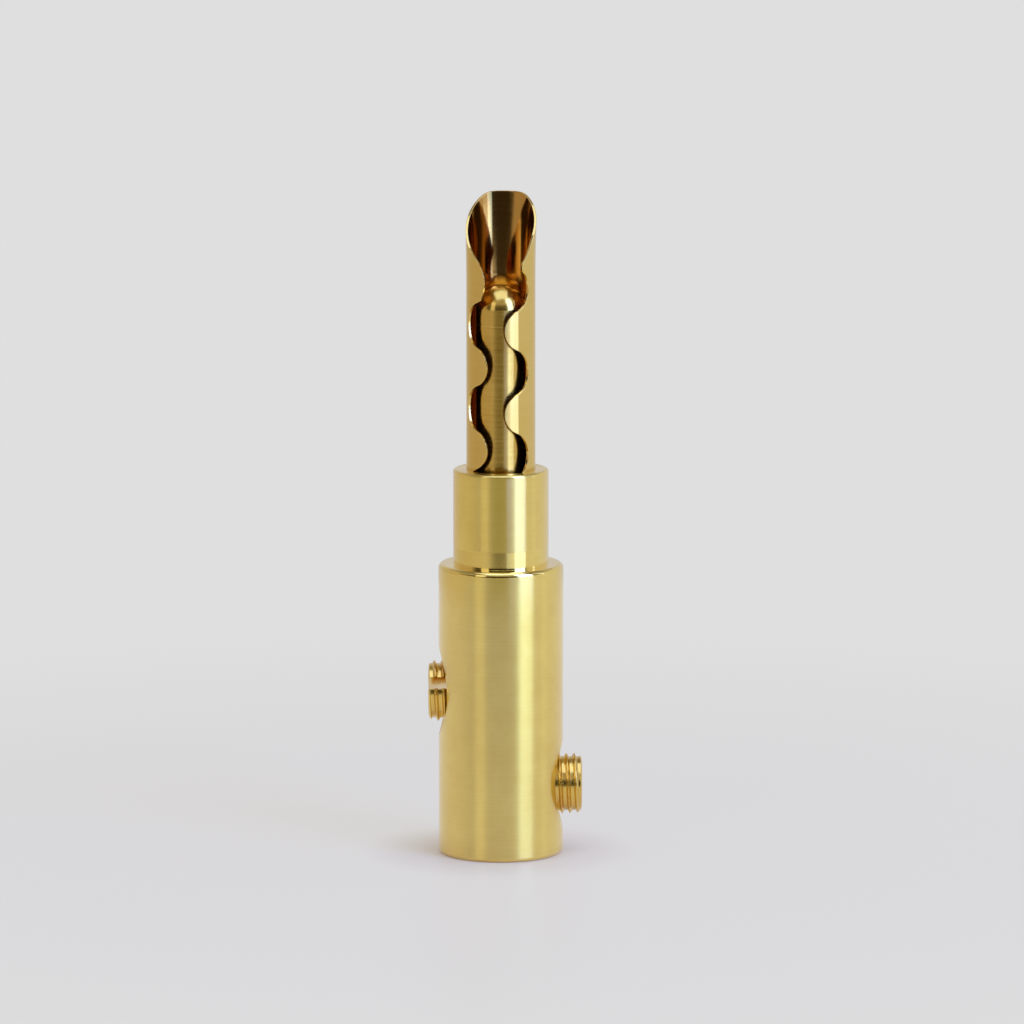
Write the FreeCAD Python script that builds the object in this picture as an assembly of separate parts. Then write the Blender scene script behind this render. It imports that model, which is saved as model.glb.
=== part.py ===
import FreeCAD, Part
import math
import os

# Hollow banana plug for a loudspeaker cable, in millimetres. The axis is Z and the foot of the barrel
# is at z = 0. The open side of the contact sleeve faces -Y, turned a little towards -X. The lower set
# screw is on +X and the upper one on -X.

# Barrel, and the collar turned on it
barrel_dia = 8.0
barrel_len = 18.8
barrel_edge = 0.3
collar_dia = 6.1
collar_len = 6.1
collar_edge = 0.17

# Bore for the bared cable end, with its drill point and the lead-in at its mouth
cable_bore_dia = 4.0
cable_bore_depth = 14.5
cable_bore_lead_in = 0.35
drill_point_angle = 118.0

# Contact sleeve, rolled from sheet, and the tapered socket that grips its foot
sleeve_dia = 4.4
sheet_thickness = 0.15
sleeve_len = 17.6
scoop_angle = 46.0
scoop_flat = 0.24
scoop_edge = 0.12
mouth_flare = 0.16
flare_len = 5.3
socket_depth = 4.0
socket_taper = 0.06
seat_gap = 0.01

# Wavy slot of the sleeve, measured on its outside, and the point where it runs out into the scoop
slot_turn = -8.5
slot_width = 2.94
wave_depth = 1.78
wave_pitch = 5.35
lobe_share = 0.46
top_lobe_drop = 5.48
top_lobe_setback = 0.17
top_notch_drop = 5.79
thorn_radius = 0.42
thorn_turn = 45.0

# Core pin inside the sleeve
core_dia = 3.15
core_len = 11.85
nose_height = 1.45
core_foot_recess = 0.5

# Set screws and their holes
screw_dia = 3.9
screw_len = 2.5
screw_clearance = 0.04
screw_chamfer = 0.32
driver_slot_width = 0.75
driver_slot_depth = 1.2
countersink_dia = 6.0
countersink_angle = 120.0
lower_screw_height = 4.43
lower_screw_reach = 5.2
lower_slot_tilt = 80.0
upper_screw_height = 10.49
upper_screw_reach = 4.65
upper_slot_tilt = 21.5

barrel_radius = barrel_dia / 2
collar_radius = collar_dia / 2
sleeve_radius = sleeve_dia / 2
collar_top = barrel_len + collar_len
socket_floor = collar_top - socket_depth
sleeve_top = collar_top + sleeve_len
sleeve_girth = 2 * math.pi * sleeve_radius

# The slot's edges are arcs in turn, the lobes and the notches between them, which meet at the flanks
flank_angle = 2 * math.atan(2 * wave_depth / wave_pitch)
lobe_half = lobe_share * wave_pitch / 2
notch_half = (1 - lobe_share) * wave_pitch / 2
lobe_radius = lobe_half / math.sin(flank_angle)
notch_radius = notch_half / math.sin(flank_angle)
lobe_tip = (slot_width - wave_depth) / 2
notch_bottom = (slot_width + wave_depth) / 2
top_lobe_height = sleeve_top - top_lobe_drop
top_notch_height = sleeve_top - top_notch_drop

AXIS = FreeCAD.Vector(0, 0, 1)
ORIGIN = FreeCAD.Vector(0, 0, 0)


def turned(profile):
    """A solid of revolution about Z from a closed profile of edges in the XZ plane."""
    return Part.Face(Part.Wire(profile)).revolve(ORIGIN, AXIS, 360)


def line(start, end):
    ends = [FreeCAD.Vector(r, 0, z) for r, z in (start, end)]
    return Part.LineSegment(*ends).toShape()


def curve(start, middle, end):
    points = [FreeCAD.Vector(r, 0, z) for r, z in (start, middle, end)]
    return Part.Arc(*points).toShape()


def rounded_corner(radius, height, edge, down=1):
    """The quarter round of an outer corner; down is 1 under a flat top and -1 over a flat foot."""
    inset = edge * (1 - math.sqrt(0.5))
    middle = (radius - inset, height - down * inset)
    return curve((radius - edge, height), middle, (radius, height - down * edge))


def barrel_blank():
    """Barrel and collar as one turning, with rounded edges at the foot, the shoulder and the top."""
    return turned([
        line((0, 0), (barrel_radius - barrel_edge, 0)),
        rounded_corner(barrel_radius, 0, barrel_edge, -1),
        line((barrel_radius, barrel_edge), (barrel_radius, barrel_len - barrel_edge)),
        rounded_corner(barrel_radius, barrel_len, barrel_edge),
        line((barrel_radius - barrel_edge, barrel_len), (collar_radius, barrel_len)),
        line((collar_radius, barrel_len), (collar_radius, collar_top - collar_edge)),
        rounded_corner(collar_radius, collar_top, collar_edge),
        line((collar_radius - collar_edge, collar_top), (0, collar_top)),
        line((0, collar_top), (0, 0)),
    ])


def cable_bore():
    """The drilled bore with its conical end and a chamfered mouth."""
    radius = cable_bore_dia / 2
    point = radius / math.tan(math.radians(drill_point_angle / 2))
    bore = Part.makeCylinder(radius, cable_bore_depth)
    end = Part.makeCone(radius, 0, point, FreeCAD.Vector(0, 0, cable_bore_depth))
    mouth = Part.makeCone(radius + cable_bore_lead_in, radius, cable_bore_lead_in)
    return bore.fuse([end, mouth])


def screw_hole(side, height):
    """A hole through one wall of the barrel, spot-drilled to a wide cone at the outside."""
    outward = FreeCAD.Vector(side, 0, 0)
    hole_radius = screw_dia / 2 + screw_clearance
    slope = math.tan(math.radians(countersink_angle / 2))
    cone_depth = (countersink_dia / 2 - hole_radius) / slope
    cone_len = 2 * cone_depth
    cone_foot = FreeCAD.Vector(side * (barrel_radius - cone_depth), 0, height)
    hole = Part.makeCylinder(hole_radius, barrel_radius, FreeCAD.Vector(0, 0, height), outward)
    cone = Part.makeCone(hole_radius, hole_radius + cone_len * slope, cone_len, cone_foot, outward)
    return hole.fuse(cone)


def barrel():
    foot = sleeve_radius - socket_taper + seat_gap
    socket_base = FreeCAD.Vector(0, 0, socket_floor)
    socket = Part.makeCone(foot, sleeve_radius + seat_gap, socket_depth, socket_base)
    holes = [screw_hole(1, lower_screw_height), screw_hole(-1, upper_screw_height)]
    return barrel_blank().cut([cable_bore(), socket] + holes)


def sleeve_tube():
    """The rolled tube without its slot: tapered foot, straight shank, and a slight flare to the mouth."""
    inner_radius = sleeve_radius - sheet_thickness
    flare_foot = sleeve_top - flare_len
    mouth = sleeve_top + sheet_thickness
    wall = []
    for radius in (sleeve_radius, inner_radius):
        halfway = (radius + mouth_flare / 4, (flare_foot + mouth) / 2)
        wall.append(line((radius - socket_taper, socket_floor), (radius, collar_top)))
        wall.append(line((radius, collar_top), (radius, flare_foot)))
        wall.append(curve((radius, flare_foot), halfway, (radius + mouth_flare, mouth)))
    for shift, height in ((-socket_taper, socket_floor), (mouth_flare, mouth)):
        wall.append(line((inner_radius + shift, height), (sleeve_radius + shift, height)))
    return turned(Part.__sortEdges__(wall))


def flat_point(point):
    return FreeCAD.Base.Vector2d(*point)


def flat_line(start, end):
    return Part.Geom2d.Line2dSegment(flat_point(start), flat_point(end))


def flat_arc(start, middle, end):
    return Part.Geom2d.ArcOfCircle2d(flat_point(start), flat_point(middle), flat_point(end))


def scoop_height(turn):
    """Height of the mouth at an angle around from the slot: a slant with a flat, eased end at the back."""
    across = sleeve_radius * (1 + math.cos(turn)) - scoop_flat
    fall = (across + math.hypot(across, scoop_edge)) / 2
    return sleeve_top - fall * math.tan(math.radians(scoop_angle))


def wavy_edge(side, top_lobe, low):
    """One slot edge laid flat, from the lobe at height top_lobe down past low, and its lower end."""
    bend = side * (lobe_tip + lobe_radius * (1 - math.cos(flank_angle)))
    stretches = [(side * lobe_tip, lobe_half), (side * notch_bottom, notch_half)]
    arcs = []
    top = top_lobe + lobe_half
    while top > low:
        reach, half = stretches[len(arcs) % 2]
        arcs.append(flat_arc((bend, top), (reach, top - half), (bend, top - 2 * half)))
        top -= 2 * half
    return arcs, (bend, top)


def thorn(height):
    """Top of the right edge: the notch at this height turns back over a rounded point into the scoop."""
    turn = math.radians(thorn_turn)
    rise = math.sin(turn)
    inset = 1 - math.cos(turn)
    foot = (notch_bottom - notch_radius * (1 - math.cos(flank_angle)), height - notch_half)
    start = (notch_bottom - notch_radius * inset, height + notch_radius * rise)
    point = (start[0] - thorn_radius * inset, start[1] + thorn_radius * rise)
    end = (start[0], start[1] + 2 * thorn_radius * rise)
    return [flat_arc(foot, (notch_bottom, height), start), flat_arc(start, point, end)], foot, end


def top_left_lobe():
    """Tip, side and lower end of the lobe that the scoop runs into, which stands back from the others."""
    points = []
    for share, setback in ((0, top_lobe_setback), (0.6, top_lobe_setback / 2), (1, 0)):
        bend = share * flank_angle
        reach = lobe_tip + setback + lobe_radius * (1 - math.cos(bend))
        points.append((sleeve_girth - reach, top_lobe_height - lobe_radius * math.sin(bend)))
    return points


def mouth_curve(right_end):
    """The slanted mouth laid flat: from the thorn over the closed back and down around the top left lobe."""
    turn = math.radians(thorn_turn)
    turns = [math.radians(degrees) for degrees in range(75, 315, 15)]
    over_back = [(angle * sleeve_radius, scoop_height(angle)) for angle in turns]
    mouth = Part.Geom2d.BSplineCurve2d()
    mouth.interpolate(
        Points=[flat_point(point) for point in [right_end] + over_back + top_left_lobe()],
        InitialTangent=flat_point((math.sin(turn), math.cos(turn))),
        FinalTangent=flat_point((-math.sin(flank_angle), -math.cos(flank_angle))),
    )
    return mouth


def sheet_outline():
    """The stamped blank laid flat, as curves of (distance around from the slot's middle, height)."""
    low = socket_floor - sheet_thickness
    thorn_arcs, thorn_foot, thorn_end = thorn(top_notch_height)
    right, right_foot = wavy_edge(1, thorn_foot[1] - lobe_half, low)
    left, left_foot = wavy_edge(-1, top_lobe_height, low)
    left_bend = left_foot[0] + sleeve_girth
    floor = min(right_foot[1], left_foot[1]) - sheet_thickness
    corners = [right_foot, (right_foot[0], floor), (left_bend, floor), (left_bend, left_foot[1])]
    foot = [flat_line(a, b) for a, b in zip(corners, corners[1:])]
    notches_down = left[1:]
    for arc in notches_down:
        arc.translate(flat_point((sleeve_girth, 0)))
    return right + thorn_arcs + [mouth_curve(thorn_end)] + notches_down + foot


def wrapped(flat_curve, surface):
    """Lays a flat curve on the cylinder that the sheet is rolled to."""
    spline = flat_curve.toBSpline()
    for index, pole in enumerate(spline.getPoles(), 1):
        spline.setPole(index, flat_point((pole.x / sleeve_radius, pole.y)))
    return spline.toShape(surface)


def rolled_blank():
    """The rolled blank, thicker than the sheet on both sides, with walls square to the sheet."""
    spare = sheet_thickness
    surface = Part.Cylinder()
    surface.Radius = sleeve_radius + mouth_flare + spare
    edges = [wrapped(part, surface) for part in sheet_outline()]
    patch = Part.Face(surface, Part.Wire(Part.__sortEdges__(edges)))
    patch.validate()
    depth = spare + mouth_flare + sheet_thickness + socket_taper + spare
    tolerance = 0.0001
    blank = patch.makeOffsetShape(-depth, tolerance, fill=True)
    blank.rotate(ORIGIN, AXIS, slot_turn - 90)
    return blank


def contact_sleeve():
    """The sprung sleeve: a thin tube with a slanted scoop at its mouth and a wavy slot down its front."""
    return sleeve_tube().common(rolled_blank())


def core_pin():
    """The turned pin inside the sleeve: a foot that grips the sleeve in its socket, and a domed nose."""
    core_radius = core_dia / 2
    grip = sleeve_radius - sheet_thickness - seat_gap
    foot_top = collar_top - core_foot_recess
    grip_at_top = grip - socket_taper * core_foot_recess / socket_depth
    edge = collar_top + core_len - nose_height
    nose_radius = (core_radius ** 2 + nose_height ** 2) / (2 * nose_height)
    half = math.asin(core_radius / nose_radius) / 2
    tip = (0, edge + nose_height)
    on_nose = (nose_radius * math.sin(half), tip[1] - nose_radius * (1 - math.cos(half)))
    return turned([
        line((0, socket_floor), (grip - socket_taper, socket_floor)),
        line((grip - socket_taper, socket_floor), (grip_at_top, foot_top)),
        line((grip_at_top, foot_top), (core_radius, foot_top)),
        line((core_radius, foot_top), (core_radius, edge)),
        curve((core_radius, edge), on_nose, tip),
        line(tip, (0, socket_floor)),
    ])


def set_screw(side, height, reach, slot_tilt):
    """A headless screw, chamfered at both ends, with a driver slot; its fine thread is left plain."""
    blank = Part.makeCylinder(screw_dia / 2, screw_len)
    rims = [edge for edge in blank.Edges if edge.Closed]
    blank = blank.makeChamfer(screw_chamfer, rims)
    corner = FreeCAD.Vector(-driver_slot_width / 2, -screw_dia, screw_len - driver_slot_depth)
    slot = Part.makeBox(driver_slot_width, 2 * screw_dia, 2 * driver_slot_depth, corner)
    slot.rotate(ORIGIN, AXIS, slot_tilt)
    screw = blank.cut(slot)
    screw.rotate(ORIGIN, FreeCAD.Vector(0, 1, 0), side * 90)
    screw.translate(FreeCAD.Vector(side * (reach - screw_len), 0, height))
    return screw


def main():
    parts = {
        "barrel": barrel(),
        "contact_sleeve": contact_sleeve(),
        "core_pin": core_pin(),
        "upper_set_screw": set_screw(-1, upper_screw_height, upper_screw_reach, upper_slot_tilt),
        "lower_set_screw": set_screw(1, lower_screw_height, lower_screw_reach, lower_slot_tilt),
    }
    os.makedirs("parts", exist_ok=True)
    for name, shape in parts.items():
        shape.exportStep("parts/" + name + ".step")
        print(name, shape.isValid(), len(shape.Solids), "solid,", round(shape.Volume, 2), "mm3")


main()
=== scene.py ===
import math

import bpy
from mathutils import Matrix, Vector


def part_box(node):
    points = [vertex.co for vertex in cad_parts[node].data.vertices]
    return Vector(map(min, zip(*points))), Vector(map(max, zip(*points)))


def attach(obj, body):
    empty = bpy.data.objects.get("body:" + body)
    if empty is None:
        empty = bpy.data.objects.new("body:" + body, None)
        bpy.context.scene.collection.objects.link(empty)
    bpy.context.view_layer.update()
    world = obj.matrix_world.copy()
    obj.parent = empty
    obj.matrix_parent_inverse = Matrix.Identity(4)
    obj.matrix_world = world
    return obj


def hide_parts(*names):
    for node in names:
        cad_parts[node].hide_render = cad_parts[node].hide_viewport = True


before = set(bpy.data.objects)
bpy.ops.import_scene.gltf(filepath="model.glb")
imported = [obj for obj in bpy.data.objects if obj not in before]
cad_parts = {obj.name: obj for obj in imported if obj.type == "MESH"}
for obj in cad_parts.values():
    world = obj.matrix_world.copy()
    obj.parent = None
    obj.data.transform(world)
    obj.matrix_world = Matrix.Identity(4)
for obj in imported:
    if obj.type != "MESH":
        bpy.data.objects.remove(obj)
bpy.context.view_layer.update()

mm = 0.001

# The smoother band over the shoulder's rounded edge and the collar's foot, by height on the axis
band_bottom = 18.48 * mm
band_top = 19.95 * mm
band_fade = 0.1 * mm
band_roughness = 0.09

# Set screws and their thread
screw_radius = 1.95 * mm
screw_length = 2.5 * mm
screw_end_round = 0.45 * mm
thread_pitch = 0.5 * mm
thread_depth = 0.2 * mm
thread_flank = math.radians(30)
crest_width = 0.05 * mm
crest_round = 0.015 * mm
thread_turns = 8
thread_run_out = 1.3 * thread_pitch
steps_per_turn = 72
cutter_clearance = 0.04 * mm
driver_slot_width = 0.75 * mm
driver_slot_depth = 1.2 * mm

# Edges sharper than these angles are rounded, or stay sharp in the shading
end_edge = math.radians(60)
crest_edge = math.radians(38)
shaded_edge = math.radians(28)

# Gold plate: how far a tool's mark runs round a piece, the size of the patches in its tone, the part
# of the noise's range that is used, and the clear lacquer on top
mark_length = 25 * mm
patch_size = 2.5 * mm
noise_span = (0.3, 0.7)
lacquer_ior = 2.0
lacquer_roughness = 0.1
quarter_turn = 0.25

# The floor glows in the background's colour, by a share that grows between two distances from the
# plug's axis: a small glow that lightens the shadow at the foot, and one that fades out the rim
floor_radius = 100 * mm
foot_glow_from, foot_glow_to, foot_glow_least = 3.6 * mm, 9 * mm, 0.2
rim_glow_from, rim_glow_to, rim_glow_least = 22 * mm, 92 * mm, 0.74

# The studio's walls, by the height and heading of a unit vector: dark ahead of the plug and pale
# all round, a little dimmer overhead
dark_heading = math.radians(-3)
dark_slant = 1.6
dark_from, dark_to = 0.6, 0.74
dark_top_from, dark_top_to = 0.55, 0.3
overhead_from, overhead_to = 0.5, 0.8
background_color = "DFDFDF"

light_distance = 900 * mm
light_target = Vector((0, 0, 20 * mm))
camera_place = (0.71 * mm, -589 * mm, 121.7 * mm)
camera_dip = 9.6
focal_length_px = 9350
image_px = 1024
sensor_mm = 36


def linear(hex_color):
    """Linear colour, with alpha, of an sRGB hex string."""
    parts = [int(hex_color[i:i + 2], 16) / 255 for i in (0, 2, 4)]
    return [c / 12.92 if c <= 0.04045 else ((c + 0.055) / 1.055) ** 2.4 for c in parts] + [1.0]


def add(tree, kind, inputs, **settings):
    """Adds a node with its settings; each input is linked where a socket is given, and otherwise set."""
    node = tree.nodes.new(kind)
    for name, value in settings.items():
        setattr(node, name, value)
    for name, value in inputs.items():
        if isinstance(value, bpy.types.NodeSocket):
            tree.links.new(value, node.inputs[name])
        else:
            node.inputs[name].default_value = value
    return node


def deselect():
    for obj in bpy.context.selected_objects:
        obj.select_set(False)


def gold_plate(name, colors, mark_pitch, mark_height, roughness, lacquer, spread, axis, edge_round):
    """Gold plate over brass, with the tool's fine rings round the axis under a clear lacquer.

    The rings spread a highlight along the axis, by spread, and the plate's tone drifts in soft patches.
    """
    material = bpy.data.materials.new(name)
    material.use_nodes = True
    tree = material.node_tree
    shader = tree.nodes["Principled BSDF"]
    place = add(tree, "ShaderNodeTexCoord", {}).outputs["Object"]
    along = 1 / mark_pitch
    around = 1 / mark_length
    stretch = (along, around, around) if axis == "X" else (around, around, along)
    laid = add(tree, "ShaderNodeMapping", {"Vector": place, "Scale": stretch})
    rings = add(tree, "ShaderNodeTexNoise",
                {"Vector": laid.outputs[0], "Scale": 1.0, "Detail": 3.0, "Roughness": 0.7})
    patches = add(tree, "ShaderNodeTexNoise",
                  {"Vector": place, "Scale": 1 / patch_size, "Detail": 4.0, "Roughness": 0.6})
    tone = add(tree, "ShaderNodeMix", {0: 0.6, 2: rings.outputs["Fac"], 3: patches.outputs["Fac"]})
    share = add(tree, "ShaderNodeMapRange",
                {"Value": tone.outputs[0], "From Min": noise_span[0], "From Max": noise_span[1]})
    color = add(tree, "ShaderNodeMix",
                {0: share.outputs[0], 6: linear(colors[0]), 7: linear(colors[1])}, data_type="RGBA")
    gloss = add(tree, "ShaderNodeMapRange",
                {"Value": rings.outputs["Fac"], "From Min": noise_span[0], "From Max": noise_span[1],
                 "To Min": roughness[0], "To Max": roughness[1]})
    edges = add(tree, "ShaderNodeBevel", {"Radius": edge_round}, samples=4)
    bump = add(tree, "ShaderNodeBump",
               {"Height": rings.outputs["Fac"], "Normal": edges.outputs[0], "Distance": mark_height})
    tangent = add(tree, "ShaderNodeTangent", {}, direction_type="RADIAL", axis=axis)
    for socket, source in (("Base Color", color.outputs[2]), ("Roughness", gloss.outputs[0]),
                           ("Normal", bump.outputs[0]), ("Tangent", tangent.outputs[0])):
        tree.links.new(source, shader.inputs[socket])
    for socket, value in (("Metallic", 1.0), ("Anisotropic", spread),
                          ("Anisotropic Rotation", quarter_turn), ("Coat Weight", lacquer),
                          ("Coat IOR", lacquer_ior), ("Coat Roughness", lacquer_roughness)):
        shader.inputs[socket].default_value = value
    return material


def painted_shade_inside(material):
    """Paints shade on the faces turned to the axis: a brown tone that stands in for the dim inside of the
    tube.
    """
    tree = material.node_tree
    shader = tree.nodes["Principled BSDF"]
    place = add(tree, "ShaderNodeTexCoord", {})
    # A face that looks straight at the axis gives minus its distance from the axis in millimetres
    out = add(tree, "ShaderNodeVectorMath", {0: place.outputs["Object"], 1: (1 / mm, 1 / mm, 0)},
              operation="MULTIPLY")
    facing = add(tree, "ShaderNodeVectorMath", {0: place.outputs["Normal"], 1: out.outputs[0]},
                 operation="DOT_PRODUCT")
    inside = add(tree, "ShaderNodeMath", {0: facing.outputs["Value"], 1: -1.0}, operation="LESS_THAN")
    plate = shader.inputs["Base Color"].links[0].from_socket
    # Painted shade: the brown C89A52 darkens the faces inside the tube in place of their shade
    color = add(tree, "ShaderNodeMix", {0: inside.outputs[0], 6: plate, 7: linear("C89A52")},
                data_type="RGBA")
    tree.links.new(color.outputs[2], shader.inputs["Base Color"])


def smooth_band(material):
    """Keeps a smoother finish on the shoulder's rounded edge and on the collar's lowest millimetre."""
    tree = material.node_tree
    shader = tree.nodes["Principled BSDF"]
    place = add(tree, "ShaderNodeTexCoord", {}).outputs["Object"]
    height = add(tree, "ShaderNodeSeparateXYZ", {0: place}).outputs["Z"]
    below = add(tree, "ShaderNodeMapRange",
                {"Value": height, "From Min": band_top + band_fade / 2,
                 "From Max": band_top - band_fade / 2})
    above = add(tree, "ShaderNodeMath", {0: height, 1: band_bottom}, operation="GREATER_THAN")
    inside = add(tree, "ShaderNodeMath", {0: below.outputs[0], 1: above.outputs[0]}, operation="MULTIPLY")
    rest = shader.inputs["Roughness"].links[0].from_socket
    mixed = add(tree, "ShaderNodeMix", {0: inside.outputs[0], 2: rest, 3: band_roughness})
    tree.links.new(mixed.outputs[0], shader.inputs["Roughness"])


# Gold plate over satin turning on the barrel and collar: a silky metal with a narrow pale highlight
# down its whole length. The tool's real rings, some 0.03 mm apart, are too fine to see, so they are
# drawn coarser.
satin_gold = gold_plate("gold_plate_satin_turned", ("EAC54C", "F9DD68"), 0.07 * mm, 0.0005 * mm,
                        (0.28, 0.38), 1.0, 0.9, "Z", 0.04 * mm)
smooth_band(satin_gold)
# Gold plate over polished sheet: bright and nearly smooth, with sharp reflections of the room. The
# inside is painted browner, as painted shade for the dim inside of the tube.
sheet_gold = gold_plate("gold_plate_rolled_sheet", ("E2C06C", "EACC7C"), 0.3 * mm, 0.0002 * mm,
                        (0.08, 0.13), 0.0, 0.4, "Z", 0.06 * mm)
painted_shade_inside(sheet_gold)
# Gold plate over a plain turned pin: the deepest rings, which the eye sees as faint dark lines
core_gold = gold_plate("gold_plate_turned_core", ("CA9F3C", "E8C45E"), 0.15 * mm, 0.002 * mm,
                       (0.16, 0.28), 0.35, 0.6, "Z", 0.04 * mm)
# Gold plate over cut threads: deep yellow, glossy, with small bright spots on the crests
screw_gold = gold_plate("gold_plate_cut_thread", ("D4A236", "F0CE62"), 0.2 * mm, 0.0005 * mm,
                        (0.18, 0.28), 0.5, 0.0, "X", 0.02 * mm)

for node_name, material in (("barrel", satin_gold), ("contact_sleeve", sheet_gold),
                            ("core_pin", core_gold)):
    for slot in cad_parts[node_name].material_slots:
        slot.material = material


def select_only(obj):
    deselect()
    bpy.context.view_layer.objects.active = obj
    obj.select_set(True)


def apply(obj, kind, **settings):
    """Adds a modifier with its settings and applies it."""
    modifier = obj.modifiers.new(kind.lower(), kind)
    for name, value in settings.items():
        setattr(modifier, name, value)
    select_only(obj)
    bpy.ops.object.modifier_apply(modifier=modifier.name)


def cut(obj, tool):
    apply(obj, "BOOLEAN", operation="DIFFERENCE", solver="EXACT", object=tool)
    bpy.data.objects.remove(tool)


def thread_groove(crest, start):
    """A cutter coiled round X with the groove's section; crest is a crest's place above the axis."""
    deep = cutter_clearance + thread_depth
    middle = screw_radius + cutter_clearance - deep / 2
    half_top = (thread_pitch - crest_width) / 2 + cutter_clearance * math.tan(thread_flank)
    half_root = half_top - deep * math.tan(thread_flank)
    bpy.ops.mesh.primitive_plane_add(size=1)
    coil = bpy.context.object
    coil.name = "thread_groove"
    coil.data.transform(Matrix(((deep, 0, 0, middle), (0, 0, 1, 0), (0, 2 * half_top, 0, 0), (0, 0, 0, 1))))
    bpy.ops.object.mode_set(mode="EDIT")
    bpy.ops.mesh.select_all(action="DESELECT")
    bpy.ops.object.mode_set(mode="OBJECT")
    for vertex in coil.data.vertices:
        vertex.select = vertex.co.x < middle
    bpy.ops.object.mode_set(mode="EDIT")
    bpy.ops.transform.resize(value=(1, 1, half_root / half_top), center_override=(0, 0, 0))
    bpy.ops.mesh.select_all(action="SELECT")
    bpy.ops.mesh.delete(type="ONLY_FACE")
    bpy.ops.object.mode_set(mode="OBJECT")
    steps = steps_per_turn * thread_turns
    apply(coil, "SCREW", axis="Z", angle=2 * math.pi * thread_turns,
          screw_offset=thread_pitch * thread_turns, steps=steps, render_steps=steps,
          use_merge_vertices=False)
    bpy.ops.object.mode_set(mode="EDIT")
    bpy.ops.mesh.select_all(action="DESELECT")
    bpy.ops.mesh.select_non_manifold()
    bpy.ops.mesh.edge_face_add()
    bpy.ops.mesh.select_all(action="SELECT")
    bpy.ops.mesh.normals_make_consistent(inside=False)
    bpy.ops.object.mode_set(mode="OBJECT")
    # The coil is laid along X: its own Z becomes X and its own X becomes Z
    offset = math.floor((start - crest) / thread_pitch) * thread_pitch + crest - thread_pitch / 2
    coil.data.transform(Matrix(((0, 0, 1, offset), (0, -1, 0, 0), (1, 0, 0, 0), (0, 0, 0, 1))))
    return coil


def set_screw(node, body, side, slot_tilt, crest):
    """A threaded headless screw along X, with a driver slot in its outer end."""
    low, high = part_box(node)
    middle = ((low[0] + high[0]) / 2, (low[2] + high[2]) / 2)
    bpy.ops.mesh.primitive_cylinder_add(vertices=steps_per_turn, radius=screw_radius, depth=screw_length)
    screw = bpy.context.object
    screw.name = "threaded_" + node
    screw.data.transform(Matrix.Rotation(math.radians(90), 4, "Y"))
    screw.data.transform(Matrix.Translation((middle[0], 0, 0)))
    apply(screw, "BEVEL", width=screw_end_round, segments=4, limit_method="ANGLE", angle_limit=end_edge)
    bpy.ops.mesh.primitive_cube_add(size=1)
    slot = bpy.context.object
    slot.data.transform(Matrix.Diagonal((2 * driver_slot_depth, driver_slot_width, 6 * screw_radius, 1)))
    slot.data.transform(Matrix.Rotation(math.radians(slot_tilt), 4, "X"))
    slot.data.transform(Matrix.Translation((middle[0] + side * screw_length / 2, 0, 0)))
    cut(screw, slot)
    cut(screw, thread_groove(crest, middle[0] - screw_length / 2 - thread_run_out))
    apply(screw, "BEVEL", width=crest_round, segments=2, limit_method="ANGLE", angle_limit=crest_edge)
    screw.data.transform(Matrix.Translation((0, 0, middle[1])))
    select_only(screw)
    bpy.ops.object.shade_smooth_by_angle(angle=shaded_edge)
    screw.data.materials.clear()
    screw.data.materials.append(screw_gold)
    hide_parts(node)
    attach(screw, body)


deselect()
set_screw("lower_set_screw", "lower_screw", 1, -10.0, 4.71 * mm)
set_screw("upper_set_screw", "upper_screw", -1, 64.0, -4.26 * mm)


def pale_floor():
    """A pale round table top that fades into the studio's background at its rim."""
    bpy.ops.mesh.primitive_circle_add(vertices=128, radius=floor_radius, fill_type="NGON")
    table = bpy.context.object
    table.name = "floor"
    # Satin laminate: a plain pale surface with a soft shadow and a faint reflection round the foot
    material = bpy.data.materials.new("pale_satin_laminate")
    material.use_nodes = True
    tree = material.node_tree
    shader = tree.nodes["Principled BSDF"]
    shader.inputs["Base Color"].default_value = linear("F0DEC4")
    shader.inputs["Roughness"].default_value = 0.42
    place = add(tree, "ShaderNodeTexCoord", {}).outputs["Object"]
    away = add(tree, "ShaderNodeVectorMath", {0: place}, operation="LENGTH").outputs["Value"]
    rim = add(tree, "ShaderNodeMapRange",
              {"Value": away, "From Min": rim_glow_from, "From Max": rim_glow_to,
               "To Min": rim_glow_least}, interpolation_type="SMOOTHSTEP")
    foot = add(tree, "ShaderNodeMapRange",
               {"Value": away, "From Min": foot_glow_from, "From Max": foot_glow_to,
                "To Min": foot_glow_least})
    fade = add(tree, "ShaderNodeMath", {0: rim.outputs[0], 1: foot.outputs[0]}, operation="MULTIPLY")
    glow = add(tree, "ShaderNodeEmission", {"Color": linear(background_color)})
    mixed = add(tree, "ShaderNodeMixShader", {0: fade.outputs[0], 1: shader.outputs[0], 2: glow.outputs[0]})
    tree.links.new(mixed.outputs[0], tree.nodes["Material Output"].inputs["Surface"])
    table.data.materials.append(material)


def softbox(name, azimuth, elevation, width, height, power, color="FFFFFF"):
    """An area light that faces the plug; azimuth is counted from the camera's side towards +X."""
    data = bpy.data.lights.new(name, "AREA")
    data.shape = "RECTANGLE"
    data.size = width
    data.size_y = height
    data.energy = power
    data.color = linear(color)[:3]
    lamp = bpy.data.objects.new(name, data)
    bpy.context.scene.collection.objects.link(lamp)
    turn, rise = math.radians(azimuth), math.radians(elevation)
    away = Vector((math.sin(turn) * math.cos(rise), -math.cos(turn) * math.cos(rise), math.sin(rise)))
    lamp.location = light_target + light_distance * away
    lamp.rotation_euler = (-away).to_track_quat("-Z", "Y").to_euler()


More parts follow.
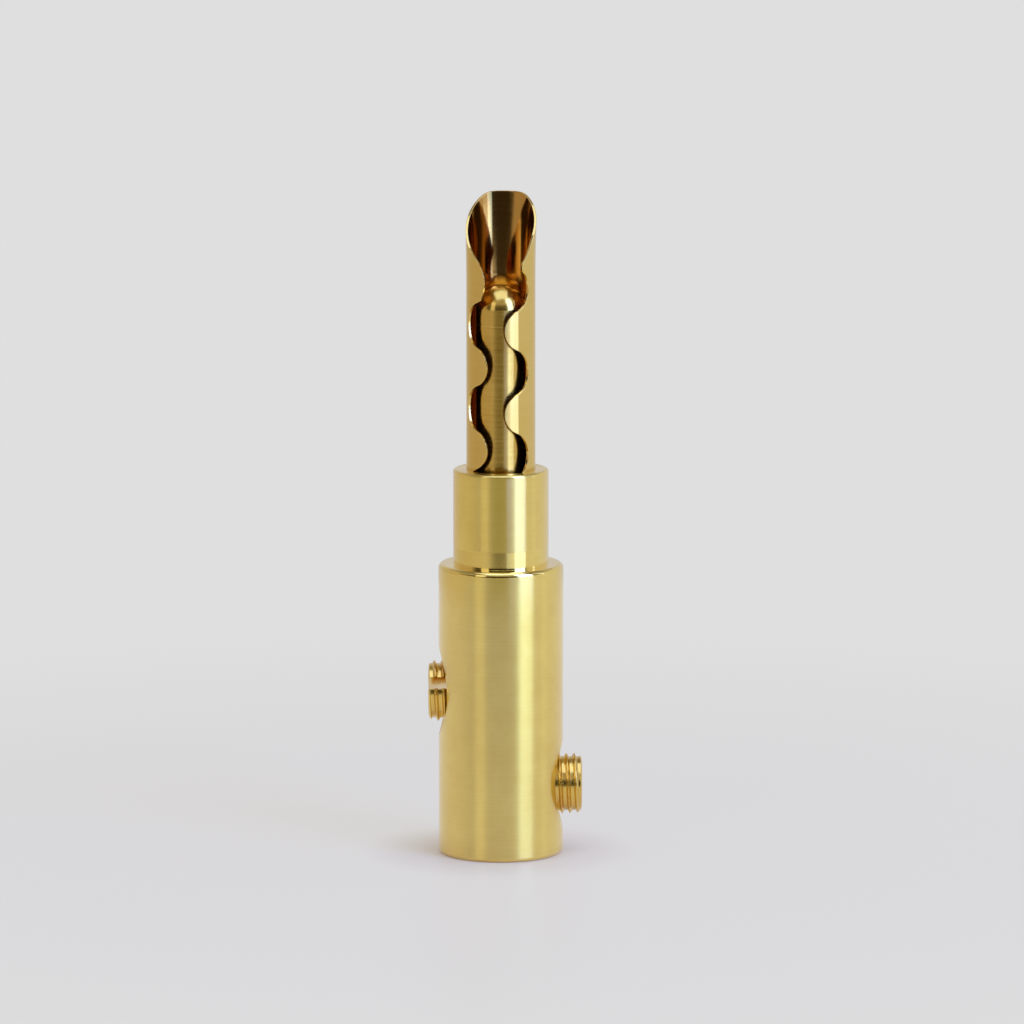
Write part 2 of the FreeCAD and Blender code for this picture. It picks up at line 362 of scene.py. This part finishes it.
def studio_walls():
    """Pale walls all round and dark ones ahead; the camera itself sees a plain background."""
    world = bpy.data.worlds.new("studio")
    bpy.context.scene.world = world
    world.use_nodes = True
    tree = world.node_tree
    way = add(tree, "ShaderNodeTexCoord", {}).outputs["Generated"]
    rise = add(tree, "ShaderNodeSeparateXYZ", {0: way}).outputs["Z"]
    ahead = add(tree, "ShaderNodeVectorMath",
                {0: way, 1: (math.sin(dark_heading), -math.cos(dark_heading), 0)},
                operation="DOT_PRODUCT")
    reach = add(tree, "ShaderNodeMath", {0: rise, 1: dark_slant, 2: ahead.outputs["Value"]},
                operation="MULTIPLY_ADD")
    front = add(tree, "ShaderNodeMapRange",
                {"Value": reach.outputs[0], "From Min": dark_from, "From Max": dark_to},
                interpolation_type="SMOOTHSTEP")
    low = add(tree, "ShaderNodeMapRange",
              {"Value": rise, "From Min": dark_top_from, "From Max": dark_top_to},
              interpolation_type="SMOOTHSTEP")
    dark = add(tree, "ShaderNodeMath", {0: front.outputs[0], 1: low.outputs[0]}, operation="MULTIPLY")
    side = add(tree, "ShaderNodeSeparateXYZ", {0: way}).outputs["X"]
    right = add(tree, "ShaderNodeMapRange", {"Value": side, "From Min": -1.0, "From Max": 1.0})
    pale = add(tree, "ShaderNodeMix", {0: right.outputs[0], 6: linear("C2B6A4"), 7: linear("DADCDE")},
               data_type="RGBA")
    overhead = add(tree, "ShaderNodeMapRange",
                   {"Value": rise, "From Min": overhead_from, "From Max": overhead_to})
    dimmed = add(tree, "ShaderNodeMix", {0: overhead.outputs[0], 6: pale.outputs[2], 7: linear("8A847C")},
                 data_type="RGBA")
    walls = add(tree, "ShaderNodeMix", {0: dark.outputs[0], 6: dimmed.outputs[2], 7: linear("3A352D")},
                data_type="RGBA")
    seen = add(tree, "ShaderNodeLightPath", {}).outputs["Is Camera Ray"]
    mixed = add(tree, "ShaderNodeMix", {0: seen, 6: walls.outputs[2], 7: linear(background_color)},
                data_type="RGBA")
    tree.links.new(mixed.outputs[2], tree.nodes["Background"].inputs["Color"])


pale_floor()
# Lamps, in degrees, metres and watts: a tall window on the right with the narrow light under its edge,
# a weak fill from the left and a pale ceiling. Their blue tint keeps the gold's highlights near white.
softbox("window", 47.5, 27, 0.43, 0.85, 8.6, "88A4FF")
softbox("window_below_table", 48, -13, 0.45, 0.34, 0.95, "A0BAFF")
softbox("window_edge", 24, -8.2, 0.32, 0.034, 0.065, "A0BAFF")
softbox("window_scoop", 38, -3, 0.25, 0.09, 0.32, "80A8FF")
softbox("window_beside", 87, 27, 0.1, 0.85, 0.4, "A0BAFF")
softbox("fill_left", -39, 20, 0.3, 0.6, 0.5)
softbox("ceiling", 10, 80, 0.8, 0.8, 4.2, "BCD0FF")
studio_walls()

camera_data = bpy.data.cameras.new("camera")
camera = bpy.data.objects.new("camera", camera_data)
bpy.context.scene.collection.objects.link(camera)
camera.location = camera_place
camera.rotation_euler = (math.radians(90 - camera_dip), 0, 0)
camera_data.sensor_width = sensor_mm
camera_data.lens = focal_length_px / image_px * sensor_mm
camera_data.clip_start = 0.01
bpy.context.scene.camera = camera
bpy.context.scene.view_settings.view_transform = "Standard"

deselect()
